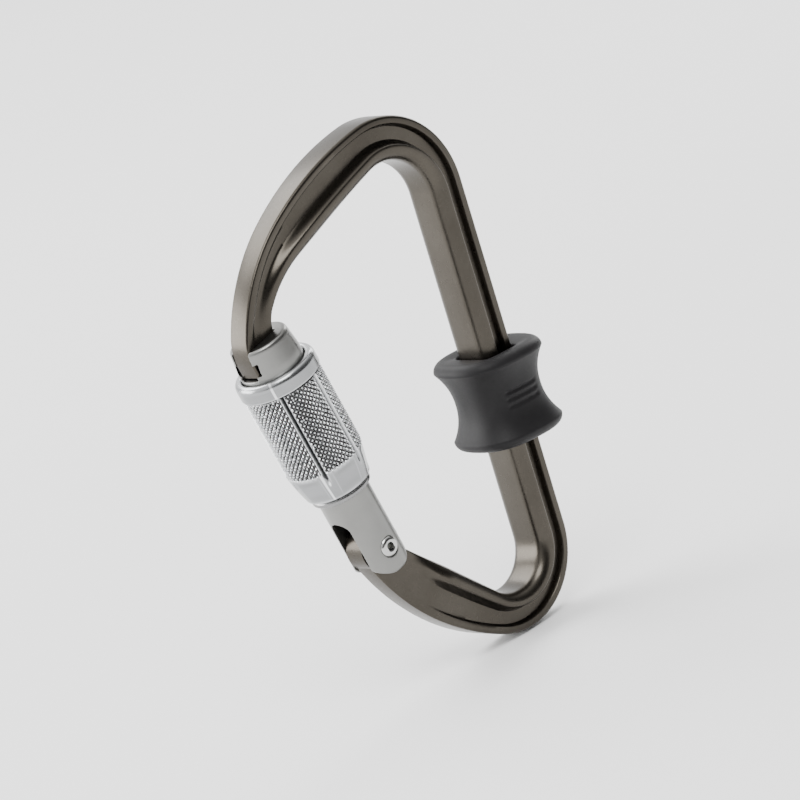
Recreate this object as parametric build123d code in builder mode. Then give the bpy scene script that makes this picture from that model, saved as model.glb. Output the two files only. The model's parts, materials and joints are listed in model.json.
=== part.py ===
from build123d import *
import math
import os

# Screw-lock carabiner, in millimetres.
# Origin: centre of the round top seat of the frame. +Z runs up the load line, +X points to the
# spine, the gate is on the -X side, and +Y goes through the frame's thickness.

# ---------------------------------------------------------------- frame outline
SEAT_DISTANCE = 69.0          # top seat centre to bottom seat centre, along Z
BOTTOM_SEAT_SHIFT = 0.6       # bottom seat centre stands this far towards the gate
TOP_SEAT_R = 9.6              # inside radius of the top bend
BOTTOM_SEAT_R = 7.5           # inside radius of the bottom bend
SPINE_WIDTH = 7.8             # spine, inside edge to outside edge
CROWN_RISE = 0.6              # the top bend is this much thicker than the spine
TOP_SEAT_END = 107.0          # degrees from +X where the top seat's arc meets the arch
CROWN_END = 97.0              # the same for the outside of the top bend
LIMB_SLOPE = 135.0            # direction in which the bottom limb climbs to the hinge
BOTTOM_BEND_END = 245.0       # degrees from +X where the outside of the bottom bend ends
ARCH_OUTER = (-27.0, 9.0)     # outside of the arch, halfway to the nose
ARCH_INNER = (-23.9, 1.7)     # inside of the arch, at the same place
SHOULDER_OUTER = (-39.9, -5.0)  # outside of the arch where it turns down into the nose
NOSE_REACH = 36.05            # middle of the nose tip, from the top seat centre
NOSE_DROP = 13.9
PIN_REACH = 27.0              # hinge pin, from the bottom seat centre
PIN_RISE = 14.0

# ---------------------------------------------------------------- frame section
FRAME_DEPTH = 9.6             # across the inner rail, which bears the load
WEB_THICKNESS = 4.4           # web, nose blade and hinge tongue
RAIL_WIDTH = 4.0              # inner rail, in the side view
EDGE_ROUND = 1.5              # forged edges of the inner rail
TOUCH = 0.01                  # closer than this is the same place
RIM_WIDTH = 1.9               # low rim along the outside
RIM_DEPTH = 6.8               # across the rim
NOSE_TAPER = (-34.0, -10.0)   # the rails grow between these X on the arch
HINGE_TAPER = (-25.0, -19.0)  # and between these X on the bottom limb

# ---------------------------------------------------------------- nose and hinge
NOSE_OUTER_U = 5.3            # blade edges on both sides of the gate's axis
NOSE_INNER_U = 2.3
NOSE_BEND_W = 4.6             # length of the straight blade above its tip, outside
NOSE_ROOT_W = 5.8             # the same, inside
NOSE_BEND_R = 5.0
NOSE_ROOT_R = 3.0
LUG_R = 0.9                   # locking lugs that stand out of the blade
LUG_REACH = 1.0               # each lug stands this far out of the blade
LUG_RISE = 1.5                # lug axis above the blade's tip
LUG_U = 3.6                   # lug axis outward of the gate's axis
TONGUE_R = 4.7                # tongue round the hinge pin
TONGUE_CORNER = (-4.6, 0.4)   # outer corner of the tongue, across and along the gate
CAM_RISE = 4.2                # flat that the plunger rests on, above the pin

# ---------------------------------------------------------------- gate
TUBE_R = 5.1                  # gate barrel
THREAD_STEP = 0.45            # thread's pitch cylinder over the barrel
THREAD_LEAD = 6.14            # thread starts this far above the sleeve's lower end
HEAD_STEP = 1.2               # head over the barrel
HEAD_TAPER = 0.6              # top of the head inside its foot
EAR_CLEARANCE = 0.5           # frame's shoulder round the gate's ears
HEAD_RISE = 4.9               # head above the blade's tip
HEAD_LENGTH = 13.8
HEAD_BEVEL = 0.8
THREAD_GAP = 1.5              # plain neck between the thread and the head
FORK_DEPTH = 6.0              # straight part of the hinge slot above the pin
SLOT_CLEARANCE = 0.15         # each side of the blade and of the tongue
SLOT_WALL_GAP = 0.45          # blade to the closed side of the head's slot
TIP_GAP = 0.7                 # under the blade's tip
LUG_CLEARANCE = 0.25

# ---------------------------------------------------------------- rivet, plunger, spring
RIVET_R = 1.5
RIVET_BORE_R = 0.8
RIVET_HEAD_R = 1.95
RIVET_HEAD_DEPTH = 0.55
RIVET_PROUD = 0.25
RIVET_CLEARANCE = 0.05        # running fit in the tongue
SPRING_OFFSET = 1.2           # the spring's bore stands inward of the gate's axis
SPRING_BORE_R = 2.5
SPRING_BORE_END = 31.0        # along the gate from the pin
PLUNGER_R = 2.4
PLUNGER_NOSE_R = 1.5
PLUNGER_LENGTH = 5.0          # guided part
PLUNGER_GAP = 0.03            # nose of the plunger to the cam flat
SPRING_COIL_R = 1.95          # to the middle of the wire
SPRING_WIRE_R = 0.3
SPRING_PITCH = 1.6
SPRING_END_GAP = 0.35

# ---------------------------------------------------------------- sleeve
SLEEVE_WALL = 1.6             # round the head
SLEEVE_LENGTH = 26.9
SLEEVE_TOP_GAP = 1.2          # sleeve top under the blade's tip at rest
SLEEVE_BAND = 3.5             # plain band at the top
SLEEVE_BEVEL = 1.2
SLEEVE_TAPER = 6.2            # plain cone at the bottom
SLEEVE_END_WALL = 0.8         # round the thread, at the lower end
KNURL_DEPTH = 0.25            # the knurled zone stands this much lower than the band
PANELS = 6
GROOVE_DEPTH = 0.8
GROOVE_WIDTH = 1.3
SLEEVE_CLEARANCE = 0.15       # over the head and over the thread
LAND_DROP = 11.25             # top of that land under the sleeve's top
RING_THICKNESS = 1.15
RING_STEP = 0.25              # ring over the sleeve's lower bore
RING_BORE_CLEARANCE = 0.15
RING_LIP = 1.6
RING_GAP = 0.05
BAND_DROP = 1.5               # warning band under the sleeve's top
BAND_WIDTH = 3.0
BAND_THICKNESS = 0.5

# ---------------------------------------------------------------- keeper
KEEPER_TOP = -32.4            # along the spine, at the keeper's middle line
KEEPER_HEIGHT = 17.6
KEEPER_FLANGE = (20.0, 19.0)  # across X and Y at both ends
KEEPER_WAIST = (16.4, 15.4)
KEEPER_LIP = 2.6              # straight lip at each end
KEEPER_CLEARANCE = 0.15
KEEPER_CORNER = 6.0
KEEPER_EDGE = 1.1


def polar(centre, radius, angle):
    """Point at an angle in degrees on a circle in the side view."""
    turn = math.radians(angle)
    return (centre[0] + radius * math.cos(turn), centre[1] + radius * math.sin(turn))


def tangent_angle(top, top_r, bottom, bottom_r):
    """Angle at which a line touches both circles on their +X side."""
    run = (top[0] - bottom[0], top[1] - bottom[1])
    length = math.hypot(*run)
    lean = math.atan2(run[1], run[0])
    return math.degrees(lean - math.acos((bottom_r - top_r) / length))


# ---------------------------------------------------------------- places worked out from the sizes
top_seat = (0.0, 0.0)
crown = (0.0, CROWN_RISE)
bottom_seat = (-BOTTOM_SEAT_SHIFT, -SEAT_DISTANCE)
top_outer_r = TOP_SEAT_R + SPINE_WIDTH
bottom_outer_r = BOTTOM_SEAT_R + SPINE_WIDTH
spine_in = tangent_angle(top_seat, TOP_SEAT_R, bottom_seat, BOTTOM_SEAT_R)
spine_out = tangent_angle(crown, top_outer_r, bottom_seat, bottom_outer_r)

pin = (bottom_seat[0] - PIN_REACH, bottom_seat[1] + PIN_RISE)
nose = (-NOSE_REACH, -NOSE_DROP)
tip_w = math.hypot(nose[0] - pin[0], nose[1] - pin[1])
along = ((nose[0] - pin[0]) / tip_w, (nose[1] - pin[1]) / tip_w)
inward = (along[1], -along[0])


def gate_point(u, w):
    """Side-view point u inward of the gate's axis and w along it from the pin."""
    return (pin[0] + u * inward[0] + w * along[0], pin[1] + u * inward[1] + w * along[1])


def tip_point(u):
    """Point of the nose tip, on a circle round the pin."""
    return gate_point(u, math.sqrt(tip_w**2 - u**2))


def gate_plane(w=0.0, u=0.0):
    """Plane across the gate at w: its x runs inward, its y is +Y."""
    x, z = gate_point(u, w)
    return Plane(origin=(x, 0, z), x_dir=(inward[0], 0, inward[1]), z_dir=(along[0], 0, along[1]))


def gate_side():
    """Side plane of the gate: its x runs inward and its y runs along the gate."""
    return Plane(origin=(pin[0], 0, pin[1]), x_dir=(inward[0], 0, inward[1]), z_dir=(0, -1, 0))


head_top = tip_w + HEAD_RISE
head_start = head_top - HEAD_LENGTH
thread_end = head_start - THREAD_GAP
slot_width = WEB_THICKNESS + 2 * SLOT_CLEARANCE
sleeve_top = tip_w - SLEEVE_TOP_GAP
sleeve_bottom = sleeve_top - SLEEVE_LENGTH
thread_start = sleeve_bottom + THREAD_LEAD
thread_r = TUBE_R + THREAD_STEP
head_r = TUBE_R + HEAD_STEP
head_top_r = head_r - HEAD_TAPER
sleeve_bore_r = head_r + SLEEVE_CLEARANCE
sleeve_r = sleeve_bore_r + SLEEVE_WALL
land_r = thread_r + SLEEVE_CLEARANCE
sleeve_end_r = land_r + SLEEVE_END_WALL
ring_r = land_r + RING_STEP
lug_span = WEB_THICKNESS + 2 * LUG_REACH
land_top = sleeve_top - LAND_DROP
half_depth = FRAME_DEPTH / 2
half_web = WEB_THICKNESS / 2


# ---------------------------------------------------------------- frame
nose_bend = gate_point(-NOSE_OUTER_U, tip_w + NOSE_BEND_W)
nose_root = gate_point(NOSE_INNER_U, tip_w + NOSE_ROOT_W)
limb_start = LIMB_SLOPE + 90
limb_base = polar(bottom_seat, BOTTOM_SEAT_R, limb_start)
limb_dir = polar((0, 0), 1, LIMB_SLOPE)
limb_run = (pin[0] - limb_base[0]) * limb_dir[0] + (pin[1] - limb_base[1]) * limb_dir[1]
limb_foot = (limb_base[0] + limb_run * limb_dir[0], limb_base[1] + limb_run * limb_dir[1])
tongue_corner = gate_point(*TONGUE_CORNER)

# Outside and inside edges of the hook-shaped frame, in the side view.
with BuildLine() as outer_edge:
    crown_arc = CenterArc(crown, top_outer_r, spine_out, CROWN_END - spine_out)
    arch = TangentArc(crown_arc @ 1, ARCH_OUTER, tangent=crown_arc % 1)
    shoulder = TangentArc(arch @ 1, SHOULDER_OUTER, tangent=arch % 1)
    TangentArc(shoulder @ 1, nose_bend, tangent=shoulder % 1)
    low_out = CenterArc(bottom_seat, bottom_outer_r, spine_out, BOTTOM_BEND_END - 360 - spine_out)
    Line(crown_arc @ 0, low_out @ 0)
    TangentArc(low_out @ 1, tongue_corner, tangent=low_out % 1)

with BuildLine() as inner_edge:
    top_arc = CenterArc(top_seat, TOP_SEAT_R, spine_in, TOP_SEAT_END - spine_in)
    inner_arch = TangentArc(top_arc @ 1, ARCH_INNER, tangent=top_arc % 1)
    TangentArc(inner_arch @ 1, nose_root, tangent=inner_arch % 1)
    low_in = CenterArc(bottom_seat, BOTTOM_SEAT_R, spine_in, limb_start - 360 - spine_in)
    Line(top_arc @ 0, low_in @ 0)
    Line(low_in @ 1, limb_foot)

with BuildSketch(Plane.XZ) as outline:
    with BuildLine():
        add(outer_edge.line)
        add(inner_edge.line)
        Line(nose_bend, tip_point(-NOSE_OUTER_U))
        ThreePointArc(
            tip_point(-NOSE_OUTER_U),
            tip_point((NOSE_INNER_U - NOSE_OUTER_U) / 2),
            tip_point(NOSE_INNER_U),
        )
        Line(tip_point(NOSE_INNER_U), nose_root)
        Line(tongue_corner, limb_foot)
    make_face()

with BuildSketch(Plane.XZ) as inner_band:
    with BuildLine():
        add(inner_edge.line)
        Line(nose_root, limb_foot)
    make_face()
    offset(amount=RAIL_WIDTH)
    add(outline.sketch_local, mode=Mode.INTERSECT)

with BuildSketch(Plane.XZ) as outer_core:
    with BuildLine():
        add(outer_edge.line)
        Line(tongue_corner, nose_bend)
    make_face()
    offset(amount=-RIM_WIDTH)

with BuildSketch(Plane.XZ) as outer_band:
    add(outline.sketch_local)
    add(outer_core.sketch_local, mode=Mode.SUBTRACT)


def along_rail(edge):
    """True for both long edges of a rail face: the one a rope bears on and the one at the web."""
    middle = edge @ 0.5
    level = abs(abs(middle.Y) - half_depth) < TOUCH
    reach = inner_edge.line.distance_to(Vertex(middle.X, middle.Z, 0))
    return level and min(reach, abs(reach - RAIL_WIDTH)) < TOUCH


# The rails rise out of the web between the nose and the arch, and between the hinge and the bend.
gate_side_x = -2 * NOSE_REACH
spine_side_x = 2 * top_outer_r
split_z = -SEAT_DISTANCE / 2
with BuildPart() as depth_limit:
    for taper, start_z, end_z in (
        (NOSE_TAPER, split_z, 2 * top_outer_r),
        (HINGE_TAPER, -SEAT_DISTANCE - 2 * bottom_outer_r, split_z),
    ):
        with BuildSketch(Plane.XY.offset(start_z)):
            with BuildLine():
                Polyline(
                    (gate_side_x, -half_web),
                    (taper[0], -half_web),
                    (taper[1], -half_depth),
                    (spine_side_x, -half_depth),
                    (spine_side_x, half_depth),
                    (taper[1], half_depth),
                    (taper[0], half_web),
                    (gate_side_x, half_web),
                    close=True,
                )
            make_face()
        extrude(amount=end_z - start_z)

with BuildPart() as inner_rail:
    extrude(inner_band.sketch, amount=half_depth, both=True)
    fillet(inner_rail.edges().filter_by(along_rail), radius=EDGE_ROUND)
    add(depth_limit.part, mode=Mode.INTERSECT)

with BuildPart() as outer_rim:
    extrude(outer_band.sketch, amount=RIM_DEPTH / 2, both=True)
    add(depth_limit.part, mode=Mode.INTERSECT)

with BuildPart() as frame:
    extrude(outline.sketch, amount=half_web, both=True)
    for corner, radius in ((nose_bend, NOSE_BEND_R), (nose_root, NOSE_ROOT_R)):
        upright = frame.edges().filter_by(Axis.Y)
        fillet(upright.sort_by_distance((corner[0], 0, corner[1]))[0], radius=radius)
    add(inner_rail.part)
    add(outer_rim.part)
    # Tongue round the hinge pin, and room for the gate's ears beside it.
    with BuildSketch(gate_side()):
        Circle(TONGUE_R)
    extrude(amount=half_web, both=True)
    for side in (-1, 1):
        with BuildSketch(gate_side().offset(side * half_web)):
            Circle(TUBE_R + EAR_CLEARANCE)
        extrude(amount=side * FRAME_DEPTH, mode=Mode.SUBTRACT)
    with BuildSketch(gate_side()):
        with Locations((0, CAM_RISE + TONGUE_R)):
            Rectangle(4 * TONGUE_R, 2 * TONGUE_R)
    extrude(amount=half_depth, both=True, mode=Mode.SUBTRACT)
    with BuildSketch(gate_side()):
        Circle(RIVET_R + RIVET_CLEARANCE)
    extrude(amount=half_depth, both=True, mode=Mode.SUBTRACT)
    # Locking lugs of the nose.
    with BuildSketch(gate_side()):
        with Locations((-LUG_U, tip_w + LUG_RISE)):
            Circle(LUG_R)
    extrude(amount=lug_span / 2, both=True)
frame.part.label = "frame"

# ---------------------------------------------------------------- gate
with BuildPart() as gate:
    with BuildSketch(gate_plane(-TUBE_R)):
        Circle(TUBE_R)
    extrude(amount=TUBE_R + head_start)
    with BuildSketch(gate_plane(thread_start)):
        Circle(thread_r)
    extrude(amount=thread_end - thread_start)
    with BuildSketch(gate_plane(head_start)):
        Circle(head_r)
    with BuildSketch(gate_plane(head_top - HEAD_RISE)):
        Circle(head_r)
    loft()
    with BuildSketch(gate_plane(head_top - HEAD_RISE)):
        Circle(head_r)
    with BuildSketch(gate_plane(head_top)):
        Circle(head_top_r)
    loft()
    crest = gate.faces().sort_by(Axis((0, 0, 0), (along[0], 0, along[1])))[-1]
    chamfer(crest.edges(), length=HEAD_BEVEL)
    # Ears round the pin.
    with BuildSketch(gate_side()):
        Circle(TUBE_R)
        with Locations((0, head_top / 2)):
            Rectangle(4 * head_r, head_top)
    extrude(amount=2 * head_r, both=True, mode=Mode.INTERSECT)
    # Hinge slot, milled with a round-ended cut from side to side.
    fork_plane = Plane(origin=gate_plane().origin, x_dir=(0, 1, 0), z_dir=(inward[0], 0, inward[1]))
    with BuildSketch(fork_plane):
        with Locations((0, (FORK_DEPTH - 2 * TUBE_R) / 2)):
            Rectangle(slot_width, FORK_DEPTH + 2 * TUBE_R)
        with Locations((0, FORK_DEPTH)):
            Circle(slot_width / 2)
    extrude(amount=2 * TUBE_R, both=True, mode=Mode.SUBTRACT)
    # Slot of the head, open on the outside and at the top.
    slot_floor = tip_w - TIP_GAP
    slot_wall = NOSE_INNER_U + SLOT_WALL_GAP
    slot_height = 2 * HEAD_RISE
    with BuildSketch(gate_side()):
        with Locations((slot_wall - head_r, slot_floor + slot_height / 2)):
            Rectangle(2 * head_r, slot_height)
    extrude(amount=slot_width / 2, both=True, mode=Mode.SUBTRACT)
    # Notches that the blade's lugs swing out of.
    lug_track = tip_w + LUG_RISE
    notch_r = LUG_R + LUG_CLEARANCE
    with BuildSketch(gate_side()):
        Circle(lug_track + notch_r)
        Circle(lug_track - notch_r, mode=Mode.SUBTRACT)
        with Locations((notch_r - LUG_U - head_r, lug_track)):
            Rectangle(2 * head_r, 4 * notch_r, mode=Mode.INTERSECT)
    extrude(amount=lug_span / 2 + SLOT_CLEARANCE, both=True, mode=Mode.SUBTRACT)
    # Bore for the spring and the plunger.
    with BuildSketch(gate_plane(FORK_DEPTH, SPRING_OFFSET)):
        Circle(SPRING_BORE_R)
    extrude(amount=SPRING_BORE_END - FORK_DEPTH, mode=Mode.SUBTRACT)
    # Rivet hole, with a seat for each head.
    with BuildSketch(gate_side()):
        Circle(RIVET_R)
    extrude(amount=2 * TUBE_R, both=True, mode=Mode.SUBTRACT)
    for side in (-1, 1):
        with BuildSketch(gate_side().offset(side * (TUBE_R - RIVET_HEAD_DEPTH))):
            Circle(RIVET_HEAD_R)
        extrude(amount=side * TUBE_R, mode=Mode.SUBTRACT)
    # Groove for the warning band.
    with BuildSketch(gate_plane(sleeve_top - BAND_DROP - BAND_WIDTH)):
        Circle(2 * head_r)
        Circle(head_r - BAND_THICKNESS, mode=Mode.SUBTRACT)
    extrude(amount=BAND_WIDTH, mode=Mode.SUBTRACT)
gate.part.label = "gate"

with BuildPart() as warning_band:
    with BuildSketch(gate_plane(sleeve_top - BAND_DROP - BAND_WIDTH)):
        Circle(head_r)
        Circle(head_r - BAND_THICKNESS, mode=Mode.SUBTRACT)
    extrude(amount=BAND_WIDTH)
warning_band.part.label = "warning_band"

# ---------------------------------------------------------------- hinge rivet
rivet_reach = TUBE_R + RIVET_PROUD
with BuildPart() as gate_rivet:
    with BuildSketch(gate_side()):
        Circle(RIVET_R)
    extrude(amount=rivet_reach, both=True)
    for side in (-1, 1):
        with BuildSketch(gate_side().offset(side * (TUBE_R - RIVET_HEAD_DEPTH))):
            Circle(RIVET_HEAD_R)
        extrude(amount=side * (RIVET_HEAD_DEPTH + RIVET_PROUD))
    rims = gate_rivet.edges().filter_by(GeomType.CIRCLE).group_by(Axis.Y)
    chamfer(rims[0] + rims[-1], length=0.35)
    with BuildSketch(gate_side()):
        Circle(RIVET_BORE_R)
    extrude(amount=2 * rivet_reach, both=True, mode=Mode.SUBTRACT)
gate_rivet.part.label = "gate_rivet"

# ---------------------------------------------------------------- plunger and spring
plunger_foot = CAM_RISE + PLUNGER_GAP
plunger_step = FORK_DEPTH + slot_width / 2 + PLUNGER_GAP
plunger_top = plunger_step + PLUNGER_LENGTH
with BuildPart() as plunger:
    with BuildSketch(gate_plane(plunger_step, SPRING_OFFSET)):
        Circle(PLUNGER_R)
    extrude(amount=PLUNGER_LENGTH)
    with BuildSketch(gate_plane(plunger_foot + PLUNGER_NOSE_R, SPRING_OFFSET)):
        Circle(PLUNGER_NOSE_R)
    extrude(amount=plunger_step - plunger_foot - PLUNGER_NOSE_R)
    ball_centre = gate_plane(plunger_foot + PLUNGER_NOSE_R, SPRING_OFFSET).origin
    with Locations(ball_centre):
        Sphere(PLUNGER_NOSE_R)
plunger.part.label = "plunger"

spring_start = plunger_top + SPRING_END_GAP
spring_length = SPRING_BORE_END - SPRING_END_GAP - spring_start
spring_plane = gate_plane(spring_start, SPRING_OFFSET)
with BuildPart() as gate_spring:
    with BuildLine() as coil:
        Helix(
            SPRING_PITCH,
            spring_length,
            SPRING_COIL_R,
            center=spring_plane.origin,
            direction=spring_plane.z_dir,
        )
    with BuildSketch(Plane(origin=coil.line @ 0, z_dir=coil.line % 0)):
        Circle(SPRING_WIRE_R)
    sweep()
gate_spring.part.label = "gate_spring"

# ---------------------------------------------------------------- locking sleeve
knurl_top = sleeve_top - SLEEVE_BAND
knurl_bottom = sleeve_bottom + SLEEVE_TAPER
with BuildPart() as locking_sleeve:
    with BuildSketch(gate_side()):
        with BuildLine():
            Polyline(
                (0, sleeve_bottom),
                (sleeve_end_r, sleeve_bottom),
                (sleeve_r - KNURL_DEPTH, knurl_bottom),
                (sleeve_r - KNURL_DEPTH, knurl_top),
                (sleeve_r, knurl_top + KNURL_DEPTH),
                (sleeve_r, sleeve_top - SLEEVE_BEVEL),
                (sleeve_r - SLEEVE_BEVEL, sleeve_top),
                (0, sleeve_top),
                close=True,
            )
        make_face()
    revolve(axis=Axis(gate_plane().origin, gate_plane().z_dir))
    with BuildSketch(gate_plane(land_top)):
        Circle(sleeve_bore_r)
    extrude(amount=LAND_DROP, mode=Mode.SUBTRACT)
    with BuildSketch(gate_plane(sleeve_bottom)):
        Circle(land_r)
    extrude(amount=SLEEVE_LENGTH, mode=Mode.SUBTRACT)
    # V grooves that divide the knurled zone into panels.
    with BuildSketch(gate_plane(sleeve_bottom)):
        with PolarLocations(sleeve_r - KNURL_DEPTH, PANELS, start_angle=360 / PANELS / 2):
            Rectangle(GROOVE_DEPTH, GROOVE_WIDTH, rotation=0)
    extrude(amount=SLEEVE_LENGTH - SLEEVE_BAND, mode=Mode.SUBTRACT)
locking_sleeve.part.label = "locking_sleeve"

ring_bore_r = TUBE_R + RING_BORE_CLEARANCE
ring_lip_r = land_r - RING_GAP
with BuildPart() as sleeve_ring:
    with BuildSketch(gate_plane(sleeve_bottom - RING_GAP - RING_THICKNESS)):
        Circle(ring_r)
        Circle(ring_bore_r, mode=Mode.SUBTRACT)
    extrude(amount=RING_THICKNESS)
    with BuildSketch(gate_plane(sleeve_bottom - RING_GAP)):
        Circle(ring_lip_r)
        Circle(ring_bore_r, mode=Mode.SUBTRACT)
    extrude(amount=RING_LIP)
sleeve_ring.part.label = "sleeve_ring"

# ---------------------------------------------------------------- keeper
spine_turn = math.radians(spine_in)
spine_across = (math.cos(spine_turn), math.sin(spine_turn))
spine_up = (-math.sin(spine_turn), math.cos(spine_turn))
spine_middle_r = TOP_SEAT_R + SPINE_WIDTH / 2


def spine_plane(height):
    """Plane across the spine: its x runs outward, its y is -Y."""
    x = spine_middle_r * spine_across[0] + height * spine_up[0]
    z = spine_middle_r * spine_across[1] + height * spine_up[1]
    return Plane(
        origin=(x, 0, z),
        x_dir=(spine_across[0], 0, spine_across[1]),
        z_dir=(spine_up[0], 0, spine_up[1]),
    )


keeper_bottom = KEEPER_TOP - KEEPER_HEIGHT
lip_top = KEEPER_TOP - KEEPER_LIP
lip_bottom = keeper_bottom + KEEPER_LIP
with BuildPart() as keeper:
    for height in (lip_top, keeper_bottom):
        with BuildSketch(spine_plane(height)):
            RectangleRounded(*KEEPER_FLANGE, KEEPER_CORNER)
        extrude(amount=KEEPER_LIP)
    for height, size in (
        (lip_bottom, KEEPER_FLANGE),
        (KEEPER_TOP - KEEPER_HEIGHT / 2, KEEPER_WAIST),
        (lip_top, KEEPER_FLANGE),
    ):
        with BuildSketch(spine_plane(height)):
            RectangleRounded(*size, KEEPER_CORNER)
    loft()
    ends = keeper.faces().sort_by(Axis((0, 0, 0), (spine_up[0], 0, spine_up[1])))
    fillet(ends[0].edges() + ends[-1].edges(), radius=KEEPER_EDGE)
    with BuildSketch(spine_plane(keeper_bottom)):
        RectangleRounded(
            SPINE_WIDTH + 2 * KEEPER_CLEARANCE,
            FRAME_DEPTH + 2 * KEEPER_CLEARANCE,
            EDGE_ROUND - KEEPER_CLEARANCE,
        )
    extrude(amount=KEEPER_HEIGHT, mode=Mode.SUBTRACT)
keeper.part.label = "keeper"

# ---------------------------------------------------------------- files
pieces = (
    frame,
    gate,
    warning_band,
    gate_rivet,
    plunger,
    gate_spring,
    locking_sleeve,
    sleeve_ring,
    keeper,
)
os.makedirs("parts", exist_ok=True)
for piece in pieces:
    export_step(piece.part, "parts/" + piece.part.label + ".step")
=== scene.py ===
"""Screw-lock carabiner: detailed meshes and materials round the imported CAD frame. Units are metres."""
import json
import math

import bmesh
import bpy
from mathutils import Matrix, Vector


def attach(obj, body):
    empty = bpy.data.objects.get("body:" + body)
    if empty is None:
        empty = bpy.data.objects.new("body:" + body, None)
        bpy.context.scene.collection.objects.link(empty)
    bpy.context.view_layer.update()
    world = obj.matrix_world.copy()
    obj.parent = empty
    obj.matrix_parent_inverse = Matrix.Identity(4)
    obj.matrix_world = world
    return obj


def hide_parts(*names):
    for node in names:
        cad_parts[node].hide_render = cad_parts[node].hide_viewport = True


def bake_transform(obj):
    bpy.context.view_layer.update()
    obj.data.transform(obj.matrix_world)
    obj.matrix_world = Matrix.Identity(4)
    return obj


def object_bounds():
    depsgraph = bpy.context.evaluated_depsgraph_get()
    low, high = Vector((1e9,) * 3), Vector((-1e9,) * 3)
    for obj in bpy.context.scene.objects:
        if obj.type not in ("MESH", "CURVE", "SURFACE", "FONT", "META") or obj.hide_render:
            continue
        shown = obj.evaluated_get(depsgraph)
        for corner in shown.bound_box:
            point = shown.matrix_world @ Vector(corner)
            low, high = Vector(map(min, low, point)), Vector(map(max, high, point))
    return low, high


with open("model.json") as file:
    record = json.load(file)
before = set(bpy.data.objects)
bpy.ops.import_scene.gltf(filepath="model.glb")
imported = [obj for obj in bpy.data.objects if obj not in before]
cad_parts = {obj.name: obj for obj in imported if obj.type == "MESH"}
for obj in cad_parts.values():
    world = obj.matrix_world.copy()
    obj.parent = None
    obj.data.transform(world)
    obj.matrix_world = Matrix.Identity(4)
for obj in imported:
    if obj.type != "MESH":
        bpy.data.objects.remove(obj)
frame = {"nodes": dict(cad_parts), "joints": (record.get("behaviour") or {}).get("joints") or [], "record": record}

CAD_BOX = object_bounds()
MM = 0.001

# ---------------------------------------------------------------- places taken from the frame
joints = {joint["name"]: joint for joint in frame["joints"]}
mounts = {mount["name"]: mount for mount in frame["record"]["mounts"]}
PIN = Vector(joints["gate_hinge"]["pos_m"]) / MM
ALONG = Vector(joints["sleeve_travel"]["axis"]).normalized()
ACROSS = Vector((0, 1, 0))
INWARD = ACROSS.cross(ALONG)
SPINE_UP = Vector(joints["keeper_slide"]["axis"]).normalized()
SPINE_OUT = ACROSS.cross(SPINE_UP)
TOP_SEAT = Vector(mounts["top_bend"]["pos_m"]) / MM
LOW_SEAT = Vector(mounts["bottom_bend"]["pos_m"]) / MM
TOP_R = mounts["top_bend"]["dims"]["r_mm"]
LOW_R = mounts["bottom_bend"]["dims"]["r_mm"]


def turned_axes(x_way, y_way, z_way):
    """Matrix that turns local X, Y and Z to three directions."""
    return Matrix(((*x_way, 0), (*y_way, 0), (*z_way, 0), (0, 0, 0, 1))).transposed()


GATE_MATRIX = Matrix.Translation(PIN) @ turned_axes(INWARD, ACROSS, ALONG)
SPINE_MATRIX = turned_axes(SPINE_OUT, ACROSS, SPINE_UP)


# ---------------------------------------------------------------- mesh tools
def make_object(name, verts, faces, matrix=None, smooth_angle=35.0):
    """Mesh object from points in millimetres, placed by a matrix in millimetres."""
    matrix = matrix or Matrix.Identity(4)
    mesh = bpy.data.meshes.new(name)
    mesh.from_pydata([(matrix @ Vector(v)) * MM for v in verts], [], faces)
    mesh.update()
    piece = bpy.data.objects.new(name, mesh)
    bpy.context.scene.collection.objects.link(piece)
    fix_normals(piece)
    mesh.shade_smooth()
    mesh.set_sharp_from_angle(angle=math.radians(smooth_angle))
    return piece


def fix_normals(piece):
    """Points every face outward."""
    work = bmesh.new()
    work.from_mesh(piece.data)
    bmesh.ops.recalc_face_normals(work, faces=work.faces)
    work.to_mesh(piece.data)
    work.free()


def grid_faces(rows, columns, close_rows=False, close_columns=True):
    """Quads of a grid of points, row after row."""
    faces = []
    for i in range(rows if close_rows else rows - 1):
        for j in range(columns if close_columns else columns - 1):
            i2, j2 = (i + 1) % rows, (j + 1) % columns
            faces.append((i * columns + j, i * columns + j2, i2 * columns + j2, i2 * columns + j))
    return faces


def lathe(profile, segments=128, close=False):
    """Points and faces of a profile of (radius, height) turned about the local Z axis."""
    verts = []
    for radius, height in profile:
        for j in range(segments):
            turn = 2 * math.pi * j / segments
            verts.append((radius * math.cos(turn), radius * math.sin(turn), height))
    faces = grid_faces(len(profile), segments, close_rows=close)
    if not close:
        faces.append(tuple(range(segments)))
        faces.append(tuple(range((len(profile) - 1) * segments, len(profile) * segments)))
    return verts, faces


def curve_point(start, corner, end, t):
    """Point at t from 0 to 1 of the quadratic curve that rounds a corner."""
    return start * (1 - t) ** 2 + corner * (2 * t * (1 - t)) + end * t**2


def rounded(points, radius, steps=4):
    """Profile with every corner between its ends replaced by a short curve."""
    most = 0.45     # of an edge's length, so that two curves on one edge stay apart
    result = [points[0]]
    for before, here, after in zip(points, points[1:], points[2:]):
        b, h, a = Vector(before), Vector(here), Vector(after)
        cut = min(radius, (b - h).length * most, (a - h).length * most)
        start, end = h + (b - h).normalized() * cut, h + (a - h).normalized() * cut
        for k in range(steps + 1):
            result.append(tuple(curve_point(start, h, end, k / steps)))
    result.append(points[-1])
    return result


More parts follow.
